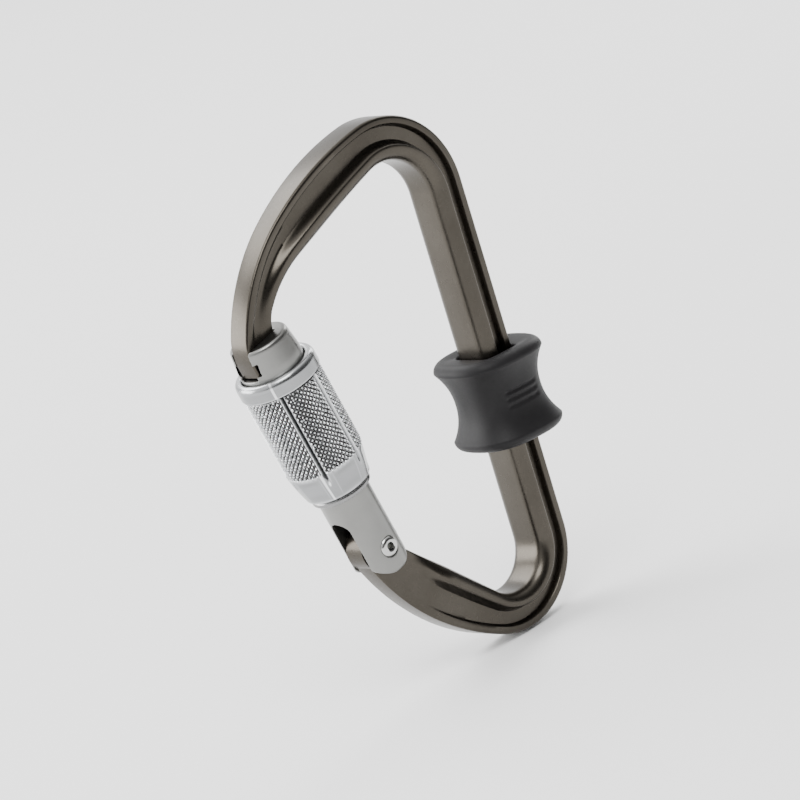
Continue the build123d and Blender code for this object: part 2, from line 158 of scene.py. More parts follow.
def box_mesh(low, high, matrix=None):
    """Closed box between two corners."""
    verts = [(x, y, z) for x in (low[0], high[0]) for y in (low[1], high[1]) for z in (low[2], high[2])]
    faces = [(0, 1, 3, 2), (4, 6, 7, 5), (0, 4, 5, 1), (2, 3, 7, 6), (0, 2, 6, 4), (1, 5, 7, 3)]
    return make_object("cutter", verts, faces, matrix)


def rod_mesh(radius, start, end, matrix, axis="Y", segments=64):
    """Closed cylinder between two places along a local axis."""
    verts, faces = lathe([(radius, start), (radius, end)], segments)
    if axis == "Y":
        verts = [(x, z, y) for x, y, z in verts]
    if axis == "X":
        verts = [(z, x, y) for x, y, z in verts]
    return make_object("cutter", verts, faces, matrix)


def combine(piece, other, operation):
    """Boolean of two closed meshes; the second one is used up."""
    modifier = piece.modifiers.new("join", "BOOLEAN")
    modifier.operation = operation
    modifier.solver = "EXACT"
    modifier.object = other
    apply_modifiers(piece)
    bpy.data.objects.remove(other)


def apply_modifiers(piece):
    """Bakes the piece's modifiers into its mesh."""
    depsgraph = bpy.context.evaluated_depsgraph_get()
    depsgraph.update()
    mesh = bpy.data.meshes.new_from_object(piece.evaluated_get(depsgraph))
    piece.modifiers.clear()
    old = piece.data
    piece.data = mesh
    bpy.data.meshes.remove(old)


def remesh(piece, voxel, rounds):
    """Softens every edge: an even remesh, then a light smoothing."""
    modifier = piece.modifiers.new("even", "REMESH")
    modifier.mode = "VOXEL"
    modifier.voxel_size = voxel * MM
    modifier.use_smooth_shade = True
    smooth = piece.modifiers.new("soft", "SMOOTH")
    smooth.factor = 0.5
    smooth.iterations = rounds
    apply_modifiers(piece)
    piece.data.shade_smooth()


# ---------------------------------------------------------------- side-view curves, as lists of (X, Z)
def polar(centre, radius, angle):
    return Vector((centre.x + radius * math.cos(angle), centre.y + radius * math.sin(angle)))


def circle_run(centre, radius, start, end, steps):
    """Points along a circle from one angle to another, ends included."""
    return [polar(centre, radius, start + (end - start) * k / steps) for k in range(steps + 1)]


def tangent_run(start, heading, end, steps):
    """Points along the arc that leaves start in a heading and reaches end, and the heading there."""
    chord = end - start
    half = math.atan2(heading.x * chord.y - heading.y * chord.x, heading.dot(chord))
    if abs(half) < 1e-4:
        return [start.lerp(end, k / steps) for k in range(steps + 1)], chord.normalized()
    radius = chord.length / (2 * math.sin(half))
    centre = start + Vector((-heading.y, heading.x)) * radius
    spoke = start - centre
    points = []
    for k in range(steps + 1):
        turn = 2 * half * k / steps
        c, s = math.cos(turn), math.sin(turn)
        points.append(centre + Vector((spoke.x * c - spoke.y * s, spoke.x * s + spoke.y * c)))
    c, s = math.cos(2 * half), math.sin(2 * half)
    return points, Vector((heading.x * c - heading.y * s, heading.x * s + heading.y * c))


def resample(points, count):
    """The same line with evenly spaced points."""
    lengths = [0.0]
    for a, b in zip(points, points[1:]):
        lengths.append(lengths[-1] + (b - a).length)
    result, k = [], 0
    for i in range(count + 1):
        want = lengths[-1] * i / count
        while k < len(points) - 2 and lengths[k + 1] < want:
            k += 1
        span = lengths[k + 1] - lengths[k]
        result.append(points[k].lerp(points[k + 1], (want - lengths[k]) / span if span else 0))
    return result


def round_corner(points, corner, radius, steps=10):
    """Dense line with one corner replaced by a curve that starts and ends a radius away from it."""
    before = [p for p in points[:corner] if (p - points[corner]).length > radius]
    after = [p for p in points[corner + 1:] if (p - points[corner]).length > radius]
    a, b, c = before[-1], points[corner], after[0]
    return before + [curve_point(a, b, c, k / steps) for k in range(1, steps)] + after


def flat(vector):
    return Vector((vector.x, vector.z))


pin2, along2, inward2 = flat(PIN), flat(ALONG), flat(INWARD)
top2, low2 = flat(TOP_SEAT), flat(LOW_SEAT)
SPINE_WIDTH = 7.8
CROWN_RISE = 0.6                    # of the outer crown's centre over the seat's
CROWN = top2 + Vector((0, CROWN_RISE))
SPINE_ANGLE = math.atan2(SPINE_OUT.z, SPINE_OUT.x)
TIP_W = 41.96                       # from the pin to the end of the nose
NOSE_OUT, NOSE_IN = -5.3, 2.3       # the nose blade's edges, inward of the gate's axis
NOSE_BEND, NOSE_ROOT = 4.6, 5.8     # where those edges end, above the end of the nose
NOSE_BEND_R, NOSE_ROOT_R = 2.4, 2.6
NOSE_STEPS = 30
TONGUE_CORNER = (-4.6, 0.4)         # where the limb's outer edge meets the hinge tongue


def gate_point(u, w):
    """Side-view point u inward of the gate's axis and w along it from the pin."""
    return pin2 + inward2 * u + along2 * w


def tip_point(u):
    """Point of the nose's end, an arc about the pin."""
    return gate_point(u, math.sqrt(TIP_W**2 - u**2))


def boundaries():
    """Outer and inner edge of the forged hook from the nose tip to the hinge, in matched spans.

    Angles are turned from +X towards +Z about the centre of each bend.
    """
    crown_end, seat_end = math.radians(97.0), math.radians(107.0)
    arch_out, arch_in = Vector((-27.0, 9.0)), Vector((-23.9, 1.7))
    shoulder = Vector((-39.9, -5.0))
    bend, root = gate_point(NOSE_OUT, TIP_W + NOSE_BEND), gate_point(NOSE_IN, TIP_W + NOSE_ROOT)

    start = polar(CROWN, TOP_R + SPINE_WIDTH, crown_end)
    heading = Vector((-math.sin(crown_end), math.cos(crown_end)))
    run_a, heading = tangent_run(start, heading, arch_out, 30)
    run_b, heading = tangent_run(arch_out, heading, shoulder, 40)
    run_c, heading = tangent_run(shoulder, heading, bend, 20)
    outer_nose = [tip_point(NOSE_OUT).lerp(bend, k / NOSE_STEPS) for k in range(NOSE_STEPS + 1)]
    outer_top = outer_nose + run_c[::-1][1:] + run_b[::-1][1:]
    outer_top = round_corner(outer_top, NOSE_STEPS, NOSE_BEND_R)

    start = polar(top2, TOP_R, seat_end)
    heading = Vector((-math.sin(seat_end), math.cos(seat_end)))
    in_a, heading = tangent_run(start, heading, arch_in, 30)
    in_b, heading = tangent_run(arch_in, heading, root, 40)
    inner_nose = [tip_point(NOSE_IN).lerp(root, k / NOSE_STEPS) for k in range(NOSE_STEPS + 1)]
    inner_top = round_corner(inner_nose + in_b[::-1][1:], NOSE_STEPS, NOSE_ROOT_R)

    low_end = math.radians(245.0 - 360.0)
    limb_angle = math.radians(225.0 - 360.0)
    low_out = polar(low2, LOW_R + SPINE_WIDTH, low_end)
    corner = gate_point(*TONGUE_CORNER)
    limb_out, heading = tangent_run(low_out, Vector((math.sin(low_end), -math.cos(low_end))), corner, 60)
    low_in = polar(low2, LOW_R, limb_angle)
    slope = Vector((-math.sqrt(0.5), math.sqrt(0.5)))       # the limb's inner edge lies at 45 degrees
    foot = low_in + slope * (pin2 - low_in).dot(slope)
    spans = [
        (outer_top, inner_top, 110),
        (run_a[::-1], in_a[::-1], 40),
        (
            circle_run(CROWN, TOP_R + SPINE_WIDTH, crown_end, SPINE_ANGLE, 60),
            circle_run(top2, TOP_R, seat_end, SPINE_ANGLE, 60),
            56,
        ),
        (
            [polar(CROWN, TOP_R + SPINE_WIDTH, SPINE_ANGLE), polar(low2, LOW_R + SPINE_WIDTH, SPINE_ANGLE)],
            [polar(top2, TOP_R, SPINE_ANGLE), polar(low2, LOW_R, SPINE_ANGLE)],
            40,
        ),
        (
            circle_run(low2, LOW_R + SPINE_WIDTH, SPINE_ANGLE, low_end, 60),
            circle_run(low2, LOW_R, SPINE_ANGLE, limb_angle, 60),
            56,
        ),
        (limb_out, [low_in, foot], 70),
    ]
    outer, inner = [], []
    for out_span, in_span, count in spans:
        outer += resample(out_span, count)[(1 if outer else 0):]
        inner += resample(in_span, count)[(1 if inner else 0):]
    return outer, inner


def smooth_step(low, high, value):
    """Eases from 0 at low to 1 at high."""
    t = min(max((value - low) / (high - low), 0.0), 1.0)
    return t * t * (3 - 2 * t)


# ---------------------------------------------------------------- forged frame
HALF_WEB = 2.2
HALF_DEPTH = 4.8                    # of the inner rail
HALF_RIM = 3.4
RAIL = 4.0                          # width of the inner rail with its slope
RIM = 1.9
RIM_SLOPE = ((-0.45, 0.0), (-0.28, 0.12), (-0.08, 0.75), (0.12, 1.0))  # (past RIM, share of the drop)
EDGE_R, EDGE_GROWTH = 0.32, 0.35    # rounding of the outer edge on a low rim, and more on a high one
CREST_R, CREST_GROWTH = 0.5, 1.9    # rounding of the bearing edge, and more on a full rail
RAIL_LEAST = 0.8                    # share of RAIL left where the rail has faded
RIM_LEAST = 0.2                     # share of the rim's height left at the nose
LIMBS_PART = -35                    # Z above which a point belongs to the nose's side
RAIL_NOSE, RAIL_HINGE = (-42.0, -17.0), (-24.5, -17.5)  # X where the rail grows from none to full
RIM_NOSE, RIM_HINGE = (-40.0, -6.0), (-22.0, -6.0)      # the same for the rim
TONGUE_R, TONGUE_TOP = 4.7, 4.2
EAR_ROOM_R = 5.6
HINGE_HOLE_R = 1.55
LUG_U, LUG_W = -3.6, TIP_W + 1.5
LUG_R, LUG_HALF = 0.9, 3.2


def frame_half_depth(point):
    """Half of the depth across the inner rail: web level at the nose and hinge, full on the bends."""
    grow = smooth_step(*(RAIL_NOSE if point.y > LIMBS_PART else RAIL_HINGE), point.x)
    return HALF_WEB + (HALF_DEPTH - HALF_WEB) * grow


def rim_half_depth(point):
    """Half of the depth across the low outer rim."""
    if point.y > LIMBS_PART:
        grow = RIM_LEAST + (1 - RIM_LEAST) * smooth_step(*RIM_NOSE, point.x)
    else:
        grow = smooth_step(*RIM_HINGE, point.x)
    return HALF_WEB + (HALF_RIM - HALF_WEB) * grow


def arc_points(centre, radius, start, end, steps):
    """Arc of a section, from one angle to another in degrees."""
    return [
        (centre[0] + radius * math.cos(a), centre[1] + radius * math.sin(a))
        for a in (math.radians(start + (end - start) * k / steps) for k in range(steps + 1))
    ]


def section(width, half, rim):
    """Half of the section, from the outer edge to the inner edge, as (distance from outside, y)."""
    rise = half - HALF_WEB
    grown = rise / (HALF_DEPTH - HALF_WEB)
    low = rim - HALF_WEB
    edge = EDGE_R + EDGE_GROWTH * min(low, 1.0)
    points = arc_points((edge, rim - edge), edge, 180, 90, 6)
    points += [(RIM + past, rim - drop * low) for past, drop in RIM_SLOPE]
    foot = width - RAIL * (RAIL_LEAST + (1 - RAIL_LEAST) * grown)
    start = RIM + RIM_SLOPE[-1][0]
    points += [(start + (foot - start) * k / 4, HALF_WEB) for k in (1, 2, 3, 4)]
    crest_r = CREST_R + CREST_GROWTH * grown
    shoulder = width - crest_r - 0.35
    for k in range(1, 9):
        t = k / 8
        points.append((foot + (shoulder - foot) * t, HALF_WEB + rise * smooth_step(0, 1, t ** 0.8)))
    points += arc_points((width - crest_r, half - crest_r), crest_r, 88, 0, 10)
    return points


def forged_frame():
    """The hook as one lofted H section, with the tongue, the rivet hole and the lugs."""
    outer, inner = boundaries()
    verts = []
    for out_point, in_point in zip(outer, inner):
        width = (in_point - out_point).length
        step = (in_point - out_point) / width
        middle = (out_point + in_point) / 2
        face = section(width, frame_half_depth(middle), rim_half_depth(middle))
        ring = face + [(d, -y) for d, y in reversed(face)]
        for d, y in ring:
            place = out_point + step * d
            verts.append((place.x, y, place.y))
    count = len(verts) // len(outer)
    faces = grid_faces(len(outer), count)
    faces.append(tuple(range(count)))
    faces.append(tuple(range((len(outer) - 1) * count, len(outer) * count)))
    piece = make_object("forged_frame", verts, faces)

    tongue = rod_mesh(TONGUE_R, -HALF_WEB, HALF_WEB, GATE_MATRIX, segments=96)
    combine(piece, tongue, "UNION")
    for side in (-1, 1):
        low, high = sorted((side * HALF_WEB, side * (HALF_DEPTH + 1)))
        combine(piece, rod_mesh(EAR_ROOM_R, low, high, GATE_MATRIX, segments=96), "DIFFERENCE")
    combine(piece, box_mesh((-10, -6, TONGUE_TOP), (10, 6, 14), GATE_MATRIX), "DIFFERENCE")
    combine(piece, rod_mesh(HINGE_HOLE_R, -6, 6, GATE_MATRIX), "DIFFERENCE")
    lug = GATE_MATRIX @ Matrix.Translation((LUG_U, 0, LUG_W))
    combine(piece, rod_mesh(LUG_R, -LUG_HALF, LUG_HALF, lug, segments=48), "UNION")
    piece.data.shade_smooth()
    piece.data.set_sharp_from_angle(angle=math.radians(40))
    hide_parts("frame")
    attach(piece, "frame")
    return piece


# ---------------------------------------------------------------- gate
SLEEVE_LENGTH = 26.9
HEAD_LENGTH = 13.8
HEAD_CONE = 4.9                     # height of the tapered top of the head
HEAD_TOP = TIP_W + HEAD_CONE        # this and the next four are places along the axis, from the pin
HEAD_START = HEAD_TOP - HEAD_LENGTH
SLEEVE_TOP = TIP_W - 1.2
SLEEVE_BOTTOM = SLEEVE_TOP - SLEEVE_LENGTH
BAND_LOW = SLEEVE_TOP - 4.5
BAND_HEIGHT, BAND_FLOOR_R = 3, 5.8
TUBE_R, THREAD_R, HEAD_R, HEAD_TOP_R = 5.1, 5.55, 6.3, 5.7
THREAD_LOW, THREAD_BEVEL, RELIEF = 20.0, 0.4, 1.2
AXIS_R = 0.01                       # radius of the end caps' middle, so that no edge has length nought
SLOT_HALF = HALF_WEB + 0.15
FORK_TOP = 6
NOSE_GAP, NOSE_WALL = 0.7, 2.75
NOTCH_HALF, NOTCH_DEPTH, NOTCH_IN = 1.15, 3.35, -2.45
BORE_U, BORE_R, BORE_TOP = 1.2, 2.5, 31
EAR_HOLE_R = 1.52
RIVET_SEAT_R, RIVET_SEAT = 1.98, 4.55


def turned_gate():
    """Barrel and head turned in one, then the hinge fork, the nose slot and the lug notches.

    Cutters reach well past the piece where they open to its outside.
    """
    thread_top = HEAD_START - RELIEF
    outline = [
        (0.0, -TUBE_R), (TUBE_R, -TUBE_R), (TUBE_R, THREAD_LOW - THREAD_BEVEL), (THREAD_R, THREAD_LOW),
        (THREAD_R, thread_top - THREAD_BEVEL), (TUBE_R, thread_top), (TUBE_R, HEAD_START),
        (HEAD_R, HEAD_START), (HEAD_R, HEAD_TOP - HEAD_CONE), (HEAD_TOP_R, HEAD_TOP), (0.0, HEAD_TOP),
    ]
    outline = rounded(outline, 0.75)
    outline[0], outline[-1] = (AXIS_R, -TUBE_R), (AXIS_R, HEAD_TOP)
    verts, faces = lathe(outline, 160)
    piece = make_object("turned_gate", verts, faces, GATE_MATRIX)
    ears = rod_mesh(TUBE_R, -8, 8, GATE_MATRIX, segments=128)
    combine(ears, box_mesh((-9, -8, 0), (9, 8, 60), GATE_MATRIX), "UNION")
    combine(piece, ears, "INTERSECT")
    fork = rod_mesh(SLOT_HALF, -9, 9, GATE_MATRIX @ Matrix.Translation((0, 0, FORK_TOP)), axis="X")
    combine(fork, box_mesh((-9, -SLOT_HALF, -8), (9, SLOT_HALF, FORK_TOP), GATE_MATRIX), "UNION")
    combine(piece, fork, "DIFFERENCE")
    nose_slot = box_mesh((-12, -SLOT_HALF, TIP_W - NOSE_GAP), (NOSE_WALL, SLOT_HALF, 60), GATE_MATRIX)
    combine(piece, nose_slot, "DIFFERENCE")
    notch = rod_mesh(LUG_W + NOTCH_HALF, -NOTCH_DEPTH, NOTCH_DEPTH, GATE_MATRIX, segments=256)
    combine(notch, rod_mesh(LUG_W - NOTCH_HALF, -4, 4, GATE_MATRIX, segments=256), "DIFFERENCE")
    window = box_mesh((-12, -5, TIP_W - 6), (NOTCH_IN, 5, TIP_W + 6), GATE_MATRIX)
    combine(notch, window, "INTERSECT")
    combine(piece, notch, "DIFFERENCE")
    bore = GATE_MATRIX @ Matrix.Translation((BORE_U, 0, 0))
    combine(piece, rod_mesh(BORE_R, FORK_TOP, BORE_TOP, bore, axis="Z"), "DIFFERENCE")
    combine(piece, rod_mesh(EAR_HOLE_R, -7, 7, GATE_MATRIX), "DIFFERENCE")
    for side in (-1, 1):
        low, high = sorted((side * RIVET_SEAT, side * 9.0))
        combine(piece, rod_mesh(RIVET_SEAT_R, low, high, GATE_MATRIX), "DIFFERENCE")
    band_seat, faces = lathe(band_profile(8), 160, close=True)
    combine(piece, make_object("cutter", band_seat, faces, GATE_MATRIX), "DIFFERENCE")
    remesh(piece, 0.14, 3)
    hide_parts("gate")
    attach(piece, "gate")
    return piece


def band_profile(outer_r):
    """Rectangle of the red band, or of its seat in the gate when it reaches past the head."""
    high = BAND_LOW + BAND_HEIGHT
    return [(BAND_FLOOR_R, BAND_LOW), (outer_r, BAND_LOW), (outer_r, high), (BAND_FLOOR_R, high)]


def turned_piece(name, node, body, profile, matrix, segments=128):
    """A ring turned about the local Z axis, its edges broken, in place of a CAD node."""
    outline = rounded(profile + [profile[0]], 0.18, 3)[1:]
    verts, faces = lathe(outline, segments, close=True)
    piece = make_object(name, verts, faces, matrix)
    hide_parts(node)
    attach(piece, body)
    return piece


# ---------------------------------------------------------------- small turned pieces
RING_LEDGE = 1.15                   # height of the part of the ring that shows
RING_BORE_R, RING_R, RING_NECK_R = 5.25, 5.95, 5.64
RIVET_BORE_R, RIVET_R, RIVET_HEAD_R = 0.8, 1.5, 1.95


def split_ring():
    """Ring under the sleeve, with a neck that reaches up into its bore."""
    low = SLEEVE_BOTTOM - 0.05 - RING_LEDGE
    profile = [
        (RING_BORE_R, low), (RING_R - 0.2, low), (RING_R, low + 0.2), (RING_R, low + 0.8),
        (RING_NECK_R, low + RING_LEDGE), (RING_NECK_R, low + 2.75), (RING_BORE_R, low + 2.75),
    ]
    return turned_piece("split_ring", "sleeve_ring", "sleeve_ring", profile, GATE_MATRIX)


def red_band():
    """Band that shows above the sleeve when it is unscrewed."""
    profile = band_profile(HEAD_R - 0.01)
    return turned_piece("red_band", "warning_band", "gate", profile, GATE_MATRIX)


def hollow_rivet():
    """Tubular hinge rivet with a domed head on each side."""
    head = [
        (RIVET_BORE_R, 5.2), (1.1, 5.35), (1.65, 5.2), (RIVET_HEAD_R, 4.85),
        (RIVET_HEAD_R, RIVET_SEAT), (RIVET_R, RIVET_SEAT),
    ]
    profile = [(radius, -height) for radius, height in head] + head[::-1]
    turn = GATE_MATRIX @ Matrix.Rotation(math.radians(-90), 4, "X")
    return turned_piece("hollow_rivet", "gate_rivet", "gate", profile, turn, 96)


# ---------------------------------------------------------------- gate spring
def gate_coil():
    """The spring: a copy of the CAD spring's mesh, in the place of the CAD node."""
    piece = bpy.data.objects.new("gate_coil", frame["nodes"]["gate_spring"].data.copy())
    bpy.context.scene.collection.objects.link(piece)
    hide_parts("gate_spring")
    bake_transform(piece)
    return piece


# ---------------------------------------------------------------- knurled sleeve
SLEEVE_R = 8.05
SLEEVE_FOOT_R = 6.45
SLEEVE_BAND = 3.5                   # height of the plain band above the knurl
SLEEVE_TAPER = 6.2                  # height of the plain taper below it
SLEEVE_PHASE = math.radians(-14)
SEAM = 0.45                         # depth and height of the step over the ring
PANELS = 6
GROOVE_HALF, GROOVE_DEPTH = 0.55, 0.8
KNURL_TOP = SLEEVE_LENGTH - SLEEVE_BAND
KNURL_PITCH, KNURL_DEPTH = 1.08, 0.52
CREST_FLAT = 0.8                    # share of a ridge's height at which it is cut flat
BAND_STEP = 0.4                     # drop from the plain band to the knurl
LIP, LIP_DROP = 1.3, 0.95           # height and depth of the rounded upper edge


def triangle_wave(value):
    """1 at whole numbers and 0 halfway between them."""
    return abs(2 * (value - math.floor(value)) - 1)


def band_radius(w):
    """The plain band, which rises out of the knurl and is rounded over at the top."""
    rise = min((w - KNURL_TOP) / 0.35, 1.0)
    edge = max(0.0, w - (SLEEVE_LENGTH - LIP)) / LIP
    return (SLEEVE_R - BAND_STEP) + BAND_STEP * rise - LIP_DROP * (1 - math.sqrt(max(0.0, 1 - edge**2)))


def taper_radius(panel, w, cut):
    """The lower taper: six soft facets, the ends of the grooves and the seam over the ring."""
    t = w / SLEEVE_TAPER
    radius = SLEEVE_FOOT_R + (SLEEVE_R - 0.3 - SLEEVE_FOOT_R) * (1 - (1 - t) ** 1.35)
    corner = (panel - 0.5) * 2 * math.pi / PANELS
    facet = radius * math.cos(math.pi / PANELS) * 1.09 / math.cos(corner)
    blend = 0.85 * smooth_step(0.0, 2.0, w) * (1 - smooth_step(SLEEVE_TAPER - 1.2, SLEEVE_TAPER, w))
    fade = smooth_step(SLEEVE_TAPER - 2.6, SLEEVE_TAPER, w)
    return min(radius, radius + (facet - radius) * blend) - 0.75 * cut * fade - max(0.0, SEAM - w)


def knurl_radius(turn, w, groove, cut):
    """The diamond knurl: two crossing sets of ridges, cut flat, that stop short of the grooves."""
    inside = smooth_step(SLEEVE_TAPER, SLEEVE_TAPER + 0.4, w)
    inside *= 1 - smooth_step(KNURL_TOP - 0.4, KNURL_TOP - 0.1, w)
    count = round(2 * math.pi * SLEEVE_R / KNURL_PITCH)
    around = turn / (2 * math.pi) * count
    climb = (w - SLEEVE_TAPER) / KNURL_PITCH
    ridge = min(triangle_wave(around + climb), triangle_wave(around - climb))
    ridge = min(ridge, CREST_FLAT) / CREST_FLAT
    clear = smooth_step(0.45, 0.7, groove)
    return SLEEVE_R - 0.22 - KNURL_DEPTH * (1 - ridge) * inside * clear - GROOVE_DEPTH * cut


def sleeve_radius(turn, w):
    """Outside radius of the sleeve at an angle and a height above its lower end."""
    panel = (turn / (2 * math.pi) * PANELS) % 1.0
    groove = min(panel, 1 - panel) * 2 * math.pi / PANELS * SLEEVE_R     # way round to the nearest groove
    cut = max(0.0, 1 - groove / GROOVE_HALF)
    if w >= KNURL_TOP:
        return band_radius(w)
    if w <= SLEEVE_TAPER:
        return taper_radius(panel, w, cut)
    return knurl_radius(turn, w, groove, cut)


def knurled_sleeve():
    """Sleeve with a real diamond knurl between six V grooves."""
    segments = 480
    heights = [0.0, SEAM / 3, SEAM * 2 / 3, SEAM]
    heights += [k * 0.31 for k in range(2, 20)]
    heights += [SLEEVE_TAPER + k * 0.125 for k in range(137)]
    heights += [KNURL_TOP + k * 0.0875 for k in range(25)]
    heights += [SLEEVE_LENGTH - LIP + k * 0.1 for k in range(13)] + [SLEEVE_LENGTH]
    bore = [
        (6.75, SLEEVE_LENGTH), (6.45, SLEEVE_LENGTH - 0.3), (6.45, 15.65),
        (5.7, 15.6), (5.7, 0.3), (5.95, 0.0),
    ]
    turns = [2 * math.pi * j / segments for j in range(segments)]
    rings = [(w, [sleeve_radius(turn, w) for turn in turns]) for w in heights]
    rings += [(w, [radius] * segments) for radius, w in bore]
    verts = []
    for w, radii in rings:
        verts += [(r * math.cos(turn), r * math.sin(turn), w) for r, turn in zip(radii, turns)]
    faces = grid_faces(len(rings), segments, close_rows=True)
    matrix = GATE_MATRIX @ Matrix.Translation((0, 0, SLEEVE_BOTTOM)) @ Matrix.Rotation(SLEEVE_PHASE, 4, "Z")
    piece = make_object("knurled_sleeve", verts, faces, matrix, smooth_angle=50)
    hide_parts("locking_sleeve")
    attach(piece, "sleeve")
    return piece


# ---------------------------------------------------------------- rubber keeper
KEEPER_HEIGHT = 17.6
KEEPER_LOW = -50.0                  # lower end, along the spine from the top seat
KEEPER_LIP = 1.9
KEEPER_SQUARE, BORE_SQUARE = 2.6, 7     # 2 is an ellipse, and more is squarer
RIBS, RIB_HALF, RIB_DEPTH = (-0.2, 0.0, 0.2), 0.07, 0.35
DISH = 0.5                          # depth of the hollow in each end


def keeper_half(t):
    """Half sizes (out, across) of the hourglass at t from -1 at the bottom to 1 at the top."""
    flare = abs(t) ** 2.2
    return 7.9 + 2.1 * flare, 7.4 + 2.1 * flare


def rubber_keeper():
    """Hourglass with rolled lips, three short grip ribs on each face, and the spine's bore."""
    rows, columns, lip_steps = 72, 144, 8
    centre = TOP_R + SPINE_WIDTH / 2
    verts = []

    def ring(half_x, half_y, z, power=KEEPER_SQUARE):
        """Adds a ring of points at a height above the keeper's lower end."""
        for j in range(columns):
            turn = 2 * math.pi * (j + 0.5) / columns
            c, s = math.cos(turn), math.sin(turn)
            x = math.copysign(abs(c) ** (2 / power), c) * half_x
            y = math.copysign(abs(s) ** (2 / power), s) * half_y
            verts.append((centre + x, y, KEEPER_LOW + z))

    def lip_ring(side, k):
        """One ring of the rolled lip at the top, side 1, or at the bottom, side -1."""
        a = math.pi / 2 * k / lip_steps
        half_x, half_y = keeper_half(side)
        shrink = KEEPER_LIP * (1 - math.cos(a))
        edge = KEEPER_HEIGHT - KEEPER_LIP if side > 0 else KEEPER_LIP
        ring(half_x - shrink, half_y - shrink, edge + side * KEEPER_LIP * math.sin(a))

    for k in range(rows + 1):
        t = -1 + 2 * k / rows
        half_x, half_y = keeper_half(t)
        rib = sum(RIB_DEPTH * max(0.0, 1 - abs(t - place) / RIB_HALF) ** 0.7 for place in RIBS)
        first = len(verts)
        ring(half_x, half_y, KEEPER_LIP + (KEEPER_HEIGHT - 2 * KEEPER_LIP) * k / rows)
        for j in range(first, len(verts)):
            x, y, z = verts[j]
            short = 1 - smooth_step(3.2, 4.2, abs(x - centre))
            verts[j] = (x, y - math.copysign(rib * short, y), z)
    for k in range(1, lip_steps + 1):
        lip_ring(1, k)
    bore_x, bore_y = SPINE_WIDTH / 2 + 0.15, HALF_DEPTH + 0.15
    outer_x, outer_y = keeper_half(1)
    dished_end = [(0.62, 0.08), (0.28, DISH * 0.6), (0.06, DISH), (0.0, DISH + 0.35)]
    ends = [(share, KEEPER_HEIGHT - depth) for share, depth in dished_end] + dished_end[::-1]
    for share, z in ends:       # share of the way from the bore out to the lip
        half_x = bore_x + (outer_x - KEEPER_LIP - bore_x) * share
        half_y = bore_y + (outer_y - KEEPER_LIP - bore_y) * share
        ring(half_x, half_y, z, KEEPER_SQUARE + (BORE_SQUARE - KEEPER_SQUARE) * (1 - share))
    for k in range(lip_steps, 0, -1):
        lip_ring(-1, k)
    faces = grid_faces(len(verts) // columns, columns, close_rows=True)
    piece = make_object("rubber_keeper", verts, faces, SPINE_MATRIX, smooth_angle=60)
    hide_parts("keeper")
    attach(piece, "keeper")
    return piece


# ---------------------------------------------------------------- materials
def new_material(name):
    material = bpy.data.materials.new(name)
    material.use_nodes = True
    tree = material.node_tree
    return material, tree, tree.nodes["Principled BSDF"]


def noise(tree, scale, detail=4.0):
    """Noise over the object's own coordinates, scale to the metre."""
    node = tree.nodes.new("ShaderNodeTexNoise")
    node.inputs["Scale"].default_value = scale
    node.inputs["Detail"].default_value = detail
    node.inputs["Roughness"].default_value = 0.55
    coords = tree.nodes.new("ShaderNodeTexCoord").outputs["Object"]
    tree.links.new(coords, node.inputs["Vector"])
    return node.outputs["Fac"]


def ramp(tree, value, stops):
    """Colour ramp from a list of (position, colour)."""
    node = tree.nodes.new("ShaderNodeValToRGB")
    elements = node.color_ramp.elements
    while len(elements) < len(stops):
        elements.new(0.5)
    for element, (place, colour) in zip(elements, stops):
        element.position = place
        element.color = (*colour, 1.0)
    tree.links.new(value, node.inputs["Fac"])
    return node.outputs["Color"]


def span(tree, value, low, high):
    """Maps 0..1 to low..high."""
    node = tree.nodes.new("ShaderNodeMapRange")
    node.inputs["To Min"].default_value = low
    node.inputs["To Max"].default_value = high
    tree.links.new(value, node.inputs["Value"])
    return node.outputs["Result"]


def bump(tree, shader, value, strength, distance):
    """Relief from a value, its height in millimetres."""
    node = tree.nodes.new("ShaderNodeBump")
    node.inputs["Strength"].default_value = strength
    node.inputs["Distance"].default_value = distance * MM
    tree.links.new(value, node.inputs["Height"])
    tree.links.new(node.outputs["Normal"], shader.inputs["Normal"])


def metal(name, dark, light, rough):
    """Satin metal: soft mottling of colour, uneven roughness and a fine grain."""
    material, tree, shader = new_material(name)
    cloud = noise(tree, 90.0, 5.0)
    tree.links.new(ramp(tree, cloud, [(0.3, dark), (0.7, light)]), shader.inputs["Base Color"])
    shader.inputs["Metallic"].default_value = 1.0
    fine = noise(tree, 1980.0, 3.0)
    tree.links.new(span(tree, fine, *rough), shader.inputs["Roughness"])
    bump(tree, shader, noise(tree, 3600.0, 3.0), strength=0.25, distance=0.006)
    return material


def metal_with_painted_knurl_light(name, dark, light, rough):
    """Bright metal with painted shade darkening the knurl's hollows and a painted highlight brightening its
    crests.
    """
    material = metal(name, dark, light, rough)
    tree = material.node_tree
    shader = tree.nodes["Principled BSDF"]
    colour = shader.inputs["Base Color"].links[0].from_socket
    point = tree.nodes.new("ShaderNodeNewGeometry").outputs["Pointiness"]
    # painted shade in the hollows (colour x0.30) and painted highlight on the crests (up to x2.8), from pointiness
    shade = ramp(tree, point, [(0.44, (0.30, 0.29, 0.28)), (0.50, (1.0, 1.0, 1.0)), (0.56, (2.8, 2.8, 2.8))])
    mix = tree.nodes.new("ShaderNodeMix")
    mix.data_type = "RGBA"
    mix.blend_type = "MULTIPLY"
    mix.inputs["Factor"].default_value = 1.0
    colour_a, colour_b, colour_result = 6, 7, 2     # sockets of the colour form of the node
    tree.links.new(colour, mix.inputs[colour_a])
    tree.links.new(shade, mix.inputs[colour_b])
    tree.links.new(mix.outputs[colour_result], shader.inputs["Base Color"])
    return material


